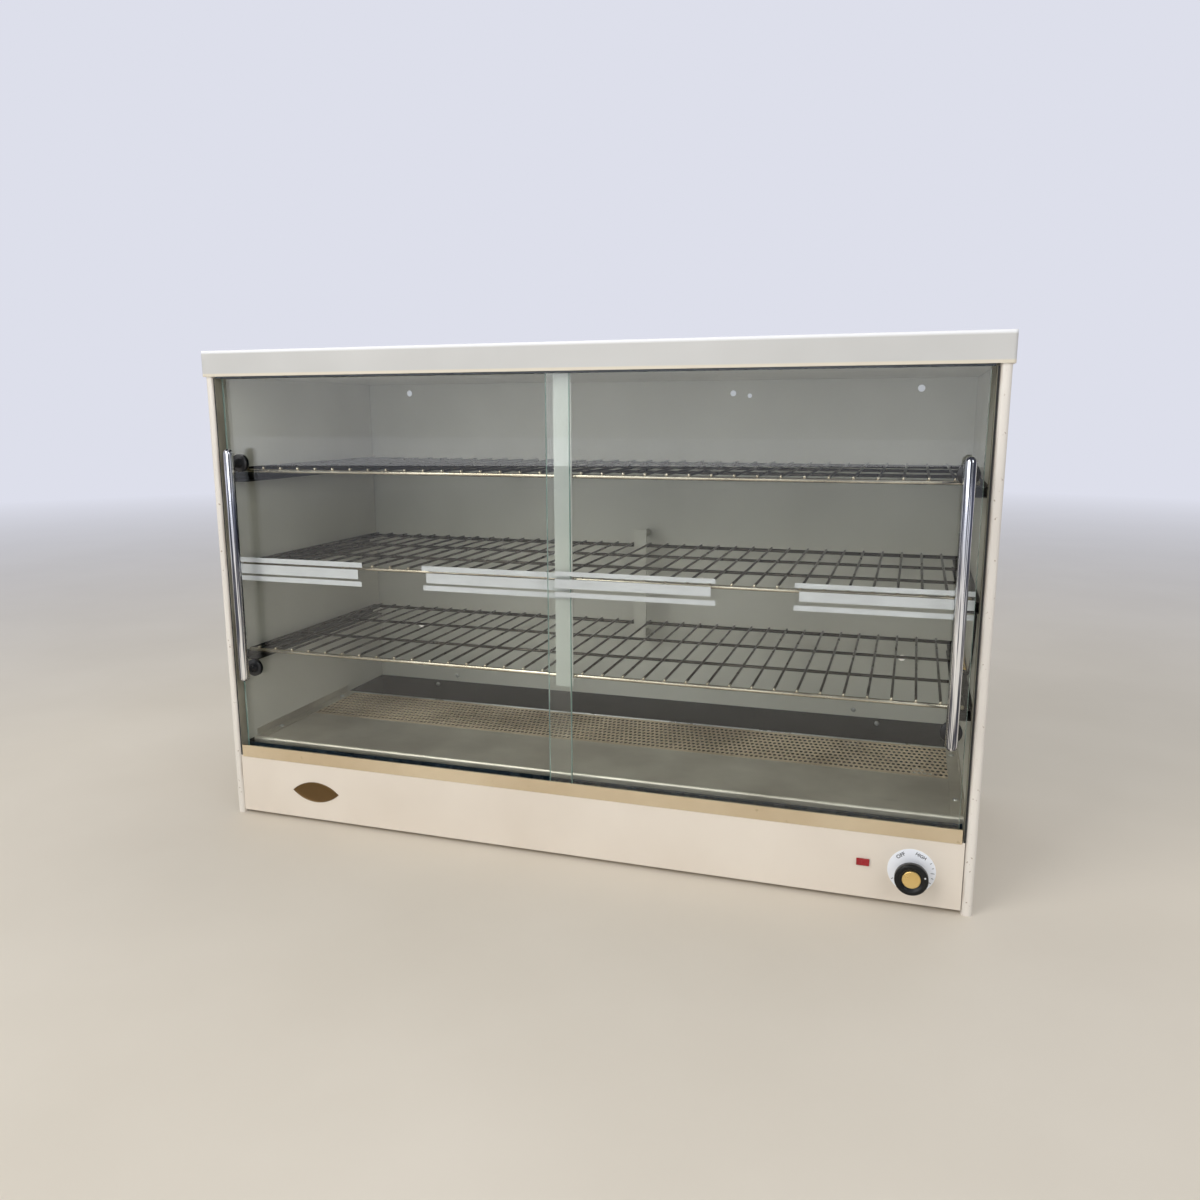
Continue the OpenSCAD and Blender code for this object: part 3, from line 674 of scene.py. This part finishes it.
def handle(side, body):
    """A half-round chromed bar with domed ends and softened back corners. Gives the x of its middle."""
    (x0, y0, z0), (x1, y1, z1) = box_mm(side + "_handle")
    mid = (x0 + x1) / 2
    half = (x1 - x0) / 2
    depth = y1 - y0
    steps = 24
    outline = []  # in shares of the half width and of the depth
    for i in range(steps + 1):
        a = math.pi * i / steps
        outline.append((-math.cos(a), -math.sin(a) ** 0.9))
    outline += [(0.96, 0.0), (0.90, 0.06), (-0.90, 0.06), (-0.96, 0.0)]
    ends = 10
    stations = []  # the height and size of each ring, first over the lower end
    for k in range(ends + 1):
        height = z0 + half * (1 - math.cos(math.pi / 2 * k / ends))
        stations.append((height, math.sin(math.pi / 2 * max(k, 0.15) / ends)))
    stations += [(z0 + z1 - z, share) for z, share in reversed(stations)]
    face = y1 - 0.06 * (depth - 1)
    rings = []
    for z, share in stations:
        dome = 0.4 + 0.6 * share
        rings.append([
            (mid + a * half * share, face + b * (depth - 0.5) * (dome if b < 0 else 1), z) for a, b in outline
        ])
    bar = Shape()
    bar.rings(rings)
    bar.piece(side + "_pull", "chrome", body, [side + "_handle"], sharp=50)
    return mid


def handle_fittings(side, body, x):
    """A waisted post at each end of the handle, a washer on each side of the glass, and the screws."""
    low, high = box_mm(side + "_handle_posts")
    front, back = low[1], high[1]
    glass = box_mm(side + "_glass")
    glass_front, glass_back = glass[0][1], glass[1][1]
    length = back - front
    thick = glass_front - back
    head = box_mm(side + "_handle_fixings")[1][1] - glass_back
    post = [(0, 0), (5.2, 0), (5.9, 0.6), (5.9, 2), (5.2, 3.2), (5.0, 8), (5.2, 12.5), (5.95, 14.5),
            (5.95, 15.6), (5.6, length), (0, length)]
    outer_washer = [(WASHER_BORE, 0), (10.2, 0), (10.8, 0.35), (WASHER_R, 0.8), (WASHER_R, thick),
                    (WASHER_BORE, thick)]
    inner_washer = [(WASHER_BORE, 0), (WASHER_R, 0), (WASHER_R, 0.9), (10.6, 1.5), (9.9, 1.8), (6.2, 1.8),
                    (5.8, 1.5), (WASHER_BORE, 1.5)]
    screw = [(0, 1.5), (5, 1.5), (5, head - 1.2), (4.5, head - 0.4), (3.4, head), (1.6, head),
             (1.5, head - 0.9), (0, head - 0.9)]
    posts = Shape()
    washers = Shape()
    door_screws = Shape()
    for z in (low[2] + POST_R, high[2] - POST_R):
        posts.lathe(post, (x, front, z), BACKWARD, 40)
        washers.ring_lathe(outer_washer, (x, back, z), BACKWARD, 56)
        washers.ring_lathe(inner_washer, (x, glass_back, z), BACKWARD, 56)
        door_screws.lathe(screw, (x, glass_back, z), BACKWARD, 40)
    posts.piece(side + "_posts", "nylon", body, [side + "_handle_posts"])
    washers.piece(side + "_washers", "nylon", body, [side + "_handle_fixings"])
    door_screws.piece(side + "_door_screws", "screw", body)


def door(side):
    """Everything that slides with one door."""
    body = side + "_door"
    low, high = glass_pane(side, body)
    stripes(side, body, low[0], high[0], high[1])
    x = handle(side, body)
    handle_fittings(side, body, x)


# ---- shelves, grille and floor ----

WIRE_PITCH = 24.57
WIRE_SHIFT = -4.3
WIRES_EACH_SIDE = 17
ROD_R = 2.5
INNER_ROD_R = 1.9
WIRE_R = 1.5
RODS = 4


def shelf(name):
    """Four long rods, an end rod at each side and cross wires. The front rod and wire tips get a bright warm
    colour as a painted reflection, the rest a near-black colour as painted shade.
    """
    (x0, y0, z0), (x1, y1, z1) = box_mm(name)
    inset = 2  # from the shelf's front and back to the outer rods' middles
    rod_z = z0 + ROD_R
    rod_y = [y0 + inset + (y1 - y0 - 2 * inset) * i / (RODS - 1) for i in range(RODS)]
    end_x = (x0 + ROD_R + 0.8, x1 - ROD_R - 0.8)
    grid = Shape()
    front_rod = Shape()
    for k, y in enumerate(rod_y):
        radius = ROD_R - 0.1 if k in (0, RODS - 1) else INNER_ROD_R
        shape = grid if k else front_rod
        shape.tube([(end_x[0], y, rod_z), (end_x[1], y, rod_z)], radius, 16)
    for x in end_x:
        grid.tube([(x, y0 + inset, rod_z), (x, y1 - inset, rod_z)], ROD_R - 0.1, 16)
    wire_z = rod_z + ROD_R + WIRE_R - 0.6
    for i in range(-WIRES_EACH_SIDE, WIRES_EACH_SIDE + 1):
        x = WIRE_SHIFT + WIRE_PITCH * i
        grid.tube([(x, y0 + 3.4, wire_z), (x, y1 - 0.9, wire_z)], WIRE_R, 12)
        front_rod.tube([(x, y0 + 0.9, wire_z), (x, y0 + 3.6, wire_z)], WIRE_R + 0.12, 12)
    grid.piece(name + "_wires", "wire", "case", [name], sharp=60)
    front_rod.piece(name + "_front_rod", "rod", "case", sharp=60)


HOLE_PITCH = 6.1
HOLE_ROW = 11.2
HOLE_HALF_WIDTH = 2.4
HOLE_HALF_LENGTH = 4.7
HOLE_CORNERS = 12


def slot_cell(sheet, left, near, bottom, top):
    """One cell of the sheet's top, with an oval slot and its walls."""
    right = left + HOLE_PITCH
    far = near + HOLE_ROW
    x = left + HOLE_PITCH / 2
    y = (near + far) / 2
    turns = [math.radians(225 + 360 * k / HOLE_CORNERS) for k in range(HOLE_CORNERS)]
    rim = [(x + HOLE_HALF_WIDTH * math.cos(t), y + HOLE_HALF_LENGTH * math.sin(t)) for t in turns]
    verts = [(left, near, top), (right, near, top), (right, far, top), (left, far, top)]
    verts += [(a, b, top) for a, b in rim]
    verts += [(a, b, bottom) for a, b in rim]
    quarter = HOLE_CORNERS // 4
    faces = []
    for q in range(4):
        inner = [4 + (quarter * q + k) % HOLE_CORNERS for k in range(quarter + 1)]
        faces.append((q, (q + 1) % 4, *reversed(inner)))
    for k in range(HOLE_CORNERS):
        m = (k + 1) % HOLE_CORNERS
        faces.append((4 + k, 4 + m, 4 + HOLE_CORNERS + m, 4 + HOLE_CORNERS + k))
    sheet.add(verts, faces)


def perforated_strip():
    """A thin sheet with staggered rows of oval slots, cell by cell, inside a plain border."""
    (x0, y0, z0), (x1, y1, z1) = box_mm("vent_grille")
    end_margin = 6
    side_margin = 3
    columns = int((x1 - x0 - 2 * end_margin) / HOLE_PITCH)
    rows = int((y1 - y0 - 2 * side_margin) / HOLE_ROW)
    left = (x0 + x1 - columns * HOLE_PITCH) / 2
    right = left + columns * HOLE_PITCH
    front = (y0 + y1 - rows * HOLE_ROW) / 2
    back = front + rows * HOLE_ROW
    sheet = Shape()
    for row in range(rows):
        near = front + row * HOLE_ROW
        far = near + HOLE_ROW
        staggered = row % 2
        shift = HOLE_PITCH / 2 if staggered else 0
        if staggered:
            for a, b in ((left, left + shift), (right - shift, right)):
                sheet.add([(a, near, z1), (b, near, z1), (b, far, z1), (a, far, z1)], [(0, 1, 2, 3)])
        for column in range(columns - staggered):
            slot_cell(sheet, left + shift + column * HOLE_PITCH, near, z0 + 0.1, z1)
    for low_x, high_x, low_y, high_y in (
        (x0, left, y0, y1), (right, x1, y0, y1), (left, right, y0, front), (left, right, back, y1)
    ):
        sheet.box((low_x, low_y, z0), (high_x, high_y, z1))
    sheet.piece("perforated_strip", "grille", "case", ["vent_grille"])
    # The bead's pale steel stands partly for the folded rear edge and partly for a painted highlight along
    # it.
    bead = Shape()
    bead.tube([(x0 + 1.2, y1 - 1.2, z1 + 0.5), (x1 - 1.2, y1 - 1.2, z1 + 0.5)], 1.1, 14)
    bead.piece("strip_rear_bead", "screw", "case")


def floor_sheet():
    """The plain floor with its rolled front lip."""
    (x0, y0, z0), (x1, y1, z1) = box_mm("floor_plate")
    top = box_mm("vent_grille")[1][2]
    thickness = 1.2
    roll_z = top - 1.6  # the height of the roll's middle
    r = z1 - roll_z
    roll_y = y0 + r
    steps = 18
    outline = [(y1, top), (y1, top - thickness), (roll_y + r * 0.6, top - thickness)]
    outline += [(y0 + thickness, z0), (y0, z0)]
    for k in range(steps + 1):
        a = math.pi * 0.86 * k / steps
        outline.append((roll_y - r * math.cos(a), roll_z + r * math.sin(a)))
    lip = Shape()
    lip.prism(outline, "x", x0, x1)
    lip.piece("floor_sheet", "floor", "case", ["floor_plate"], 0.25, sharp=30)


# ---- control panel ----

POINTER_TURN = 72  # degrees clockwise from the top
POINTER_R = 14.2
CAP_DEPTH = 8  # of the knob's wide cap
DIAL_BORE = 5.4


def dial_point(centre, radius, turn, y):
    """A point on a circle about the dial's centre, turned clockwise from the top."""
    a = math.radians(turn)
    return (centre[0] + radius * math.sin(a), y, centre[1] + radius * math.cos(a))


def control_knob():
    """A slim hub with a wide cap, dished round a brass disc, and a white dot. Gives the knob's centre."""
    (x0, y0, z0), (x1, y1, z1) = box_mm("knob")
    centre = ((x0 + x1) / 2, (z0 + z1) / 2)
    r = (x1 - x0) / 2
    depth = y1 - y0
    rear = depth - CAP_DEPTH
    hub = [(0, 0.5), (10.2, 0.5), (10.7, 0.1), (11, 0.5), (11, rear - 0.6), (11.5, rear)]
    rim = [(r - 1.5, rear + 0.05), (r - 0.5, rear + 0.3), (r, rear + 1.0), (r, depth - 1.9),
           (r - 0.2, depth - 1.0), (r - 0.8, depth - 0.4), (r - 1.8, depth - 0.12)]
    dish = [(13.3, depth - 0.12), (12.6, depth - 0.25), (12.0, depth - 0.6), (10.4, depth - 1.75),
            (9.7, depth - 2.0), (9.55, depth - 2.8), (0, depth - 2.8)]
    body = Shape()
    body.lathe(hub + rim + dish, (centre[0], y1, centre[1]), FORWARD, 96)
    body.piece("control_knob", "knob", "knob", ["knob"], sharp=40)
    knob_disc(centre)
    dot = Shape()
    dot.lathe([(0, 0), (1.0, 0), (0.95, 0.12), (0, 0.14)],
              dial_point(centre, POINTER_R, POINTER_TURN, y0 + 0.14), FORWARD, 20)
    dot.piece("knob_pointer", "white", "knob")
    return centre


def knob_disc(centre):
    """The brass disc, with fine turned grooves."""
    low, high = box_mm("knob_insert")
    r = (high[0] - low[0]) / 2
    thick = high[1] - low[1]
    profile = [(0, 0), (r, 0), (r, thick - 0.6), (r - 0.5, thick - 0.15), (r - 1.0, thick)]
    grooves = 6
    for k in range(grooves):
        radius = (r - 1.2) * (1 - k / grooves)
        profile += [(radius, thick - 0.02), (radius - 0.35, thick - 0.12), (radius - 0.9, thick - 0.02)]
    profile += [(0, thick - 0.02)]
    disc = Shape()
    disc.lathe(profile, (centre[0], high[1], centre[1]), FORWARD, 96)
    disc.piece("knob_face", "brass", "knob", ["knob_insert"], sharp=60)


def words_on_dial(text, size, centre, radius, turn, y):
    """Flat lettering that stands upright on the dial's circle, as vertices and faces."""
    curve = bpy.data.curves.new("lettering", "FONT")
    curve.body = text
    curve.size = size
    curve.align_x = "CENTER"
    curve.align_y = "CENTER"
    curve.resolution_u = 3
    curve.offset = size * 0.02
    holder = bpy.data.objects.new("lettering", curve)
    scene.collection.objects.link(holder)
    bpy.context.view_layer.update()
    mesh = holder.to_mesh()
    a = math.radians(turn)
    verts = []
    for v in mesh.vertices:
        along, up = v.co.x, v.co.y + radius
        verts.append((centre[0] + along * math.cos(a) + up * math.sin(a), y,
                      centre[1] - along * math.sin(a) + up * math.cos(a)))
    faces = [tuple(p.vertices) for p in mesh.polygons]
    holder.to_mesh_clear()
    bpy.data.objects.remove(holder)
    bpy.data.curves.remove(curve)
    return verts, faces


def dial(centre):
    """The round scale plate behind the knob, with its ticks and two words."""
    low, high = box_mm("dial_plate")
    r = (high[0] - low[0]) / 2
    profile = [(DIAL_BORE, 0), (r - 0.1, 0), (r, 0.25), (r - 0.1, 0.6), (r - 0.5, 0.74), (DIAL_BORE, 0.74)]
    plate = Shape()
    plate.ring_lathe(profile, (centre[0], high[1], centre[1]), FORWARD, 96)
    plate.piece("dial_face", "dial", "case", ["dial_plate"])
    marks = Shape()
    face = low[1] + 0.03
    for turn in range(60, 241, 15):
        long_mark = turn % 45 == 0
        inner = r - (5.2 if long_mark else 3.6)
        marks.tube([dial_point(centre, inner, turn, face), dial_point(centre, r - 1.6, turn, face)], 0.32, 6)
    word_r = r - 4.8
    marks.add(*words_on_dial("OFF", 5.6, centre, word_r, -36, face - 0.04))
    marks.add(*words_on_dial("HIGH", 4.8, centre, word_r, 26, face - 0.04))
    marks.piece("dial_marks", "print", "case")


def indicator():
    """The lamp's lens, chamfered at its sides and ribbed across its front."""
    low, high = box_mm("lamp_lens")
    chamfer = 0.5
    ribs = 7
    step = (high[0] - low[0] - 2 * chamfer) / ribs
    outline = [(low[0], high[1]), (low[0], low[1] + chamfer), (low[0] + chamfer, low[1])]
    for k in range(ribs):
        a = low[0] + chamfer + step * k
        outline += [(a + step * 0.5, low[1] + 0.22), (a + step, low[1])]
    outline += [(high[0], low[1] + chamfer), (high[0], high[1])]
    lens = Shape()
    lens.prism(outline, "z", low[2], high[2])
    lens.piece("indicator_lens", "lamp", "case", ["lamp_lens"], 0.3, sharp=20)


def badge():
    """A blank pointed oval with a raised rim."""
    low, high = box_mm("badge_plate")
    middle = ((low[0] + high[0]) / 2, (low[2] + high[2]) / 2)
    width = high[0] - low[0]
    height = high[2] - low[2]
    arc_r = (width * width + height * height) / (4 * height)
    spread = math.asin(width / 2 / arc_r)
    steps = 28
    oval = []  # an upper arc, then a lower one
    for sign in (1, -1):
        for k in range(steps):
            a = spread * (1 - 2 * k / steps) * sign
            oval.append((-arc_r * math.sin(a), sign * (arc_r * math.cos(a) - arc_r + height / 2)))
    # The size and depth of each ring, from the back to the middle of the face
    layers = [(1.0, high[1]), (1.0, low[1] + 0.45), (0.985, low[1] + 0.1), (0.965, low[1]), (0.93, low[1]),
              (0.905, low[1] + 0.35), (0.88, low[1] + 0.4), (0.3, low[1] + 0.3)]
    plate = Shape()
    plate.rings([[(middle[0] + x * share, y, middle[1] + z * share) for x, z in oval] for share, y in layers])
    plate.piece("badge", "bronze", "case", ["badge_plate"], sharp=50)


# ---- screws ----

CASE_SCREW_R = 3.6
FLOOR_SCREW_R = 3.4


def screw_template():
    """A pan head of radius 1 with a cross recess, standing on the origin along +z, as vertices and faces."""
    profile = [(0, 0), (0.98, 0), (1, 0.08), (0.93, 0.32), (0.74, 0.5), (0.45, 0.58), (0, 0.6)]
    head = Shape()
    head.lathe(profile, (0, 0, 0), (0, 0, 1), 24)
    mesh = bpy.data.meshes.new("screw")
    mesh.from_pydata(head.verts, [], head.faces)
    tidy_normals(mesh)
    body = bpy.data.objects.new("screw", mesh)
    scene.collection.objects.link(body)
    cutters = []
    for wide, deep in ((0.5, 0.1), (0.1, 0.5)):
        bar = Shape()
        bar.box((-wide, -deep, 0.28), (wide, deep, 1))
        recess = bpy.data.meshes.new("recess")
        recess.from_pydata(bar.verts, [], bar.faces)
        tidy_normals(recess)
        cutter = bpy.data.objects.new("recess", recess)
        scene.collection.objects.link(cutter)
        cut = body.modifiers.new("recess", "BOOLEAN")
        cut.object = cutter
        cut.operation = "DIFFERENCE"
        cut.solver = "EXACT"
        cutters.append(cutter)
    bpy.context.view_layer.update()
    seen = body.evaluated_get(bpy.context.evaluated_depsgraph_get())
    result = seen.to_mesh()
    verts = [tuple(v.co) for v in result.vertices]
    faces = [tuple(p.vertices) for p in result.polygons]
    seen.to_mesh_clear()
    for obj in [body, *cutters]:
        bpy.data.objects.remove(obj)
    return verts, faces


def screws(name, node, radius, placed):
    """Copies of the screw, each given as a place, an axis and a turn in degrees."""
    verts, faces = screw_template()
    group = Shape()
    for place, axis, turn in placed:
        spin = Vector(axis).to_track_quat("Z", "Y").to_matrix() @ Matrix.Rotation(math.radians(turn), 3, "Z")
        group.add([tuple(Vector(place) + spin @ (Vector(v) * radius)) for v in verts], faces)
    group.piece(name, "screw", "case", [node])


def all_screws():
    """The screw heads at the back, underneath and inside, where the CAD screws stand."""
    back = box_mm("back_panel")[1][1]
    floor_top = box_mm("vent_grille")[1][2]
    under = box_mm("base_pan")[0][2]
    up = (0, 0, 1)
    down = (0, 0, -1)
    placed = [((x, back, z), BACKWARD, x + z) for x in (-440, -220, 0, 220, 440)
              for z in (floor_top + 14, 556)]
    placed += [((x, back, z), BACKWARD, x - z) for x in (-452, 452) for z in (250, 400)]
    placed += [((x, back, 80), BACKWARD, x) for x in (-420, -140, 140, 420)]
    placed += [((x, y, under), down, x + y) for x in (-400, 0, 400) for y in (30, 340)]
    screws("case_screw_heads", "case_screws", CASE_SCREW_R, placed)
    trough = box_mm("rear_trough")[1][1] - 1.2
    panel = box_mm("back_panel")[0][1]
    angle_x = box_mm("left_liner")[1][0] + 8
    placed = [((s * angle_x, y, floor_top + 1.2), up, y * s) for s in (-1, 1) for y in (80, 230)]
    placed += [((x, trough, floor_top - 7), FORWARD, 20) for x in (-343, 343)]
    placed += [((x, panel, floor_top + 9), FORWARD, 50) for x in (-310, 310)]
    screws("floor_screw_heads", "floor_screws", FLOOR_SCREW_R, placed)


# ---- build ----

scene.view_settings.view_transform = "Standard"
add_camera()
add_world()
for lamp_values in LAMPS:
    add_light(*lamp_values)
for card_values in DARK_CARDS:
    add_dark_card(*card_values)
add_floor()

dress("panel", 0.3, "left_side_panel", "right_side_panel")
dress("lid", 0.6, "top_cover")
dress("cream", 0.3, "front_fascia", "header_rail")
dress("back", 0.3, "back_panel")
dress("liner", 0.2, "left_liner", "right_liner", "roof_liner")
dress("support", 0.25, "front_strut")
dress("back", 0.25, "rear_strut")
dress("rail", 0.25, "shelf_supports")
dress("mirror", 0.2, "polished_trim")
dress("floor", 0.2, "floor_angles")
dress("zinc", 0.2, "base_pan", "base_side_plates", "element_brackets")
dress("dark", 0.2, "lower_back_panel", "rear_trough")
dress("sheath", 0, "front_element", "rear_element")
dress("track", 0.25, "bottom_track", "top_track")
dress("jamb", 0.3, "left_jamb_gasket", "right_jamb_gasket")
dress("nylon", 0.3, "cable_gland", "gland_nut")
dress("knob", 0.3, "thermostat_body", "lamp_body")
dress("rubber", 0, "thermostat_capillary")
dress("brass", 0.15, "earth_stud", "thermostat_bush")
dress("brass", 0, "thermostat_phial")
dress("screw", 0.1, "bush_nut", "knob_spindle")
dress("wool", 1.5, "side_insulation", "roof_insulation")
dress("ceramic", 0.3, "element_ceramics", "terminal_block")
dress("cable", 0, "wiring_loom")

door("left")
door("right")
for shelf_name in ("upper_shelf", "middle_shelf", "lower_shelf"):
    shelf(shelf_name)
perforated_strip()
floor_sheet()
dial(control_knob())
indicator()
badge()
all_screws()

bpy.context.view_layer.update()
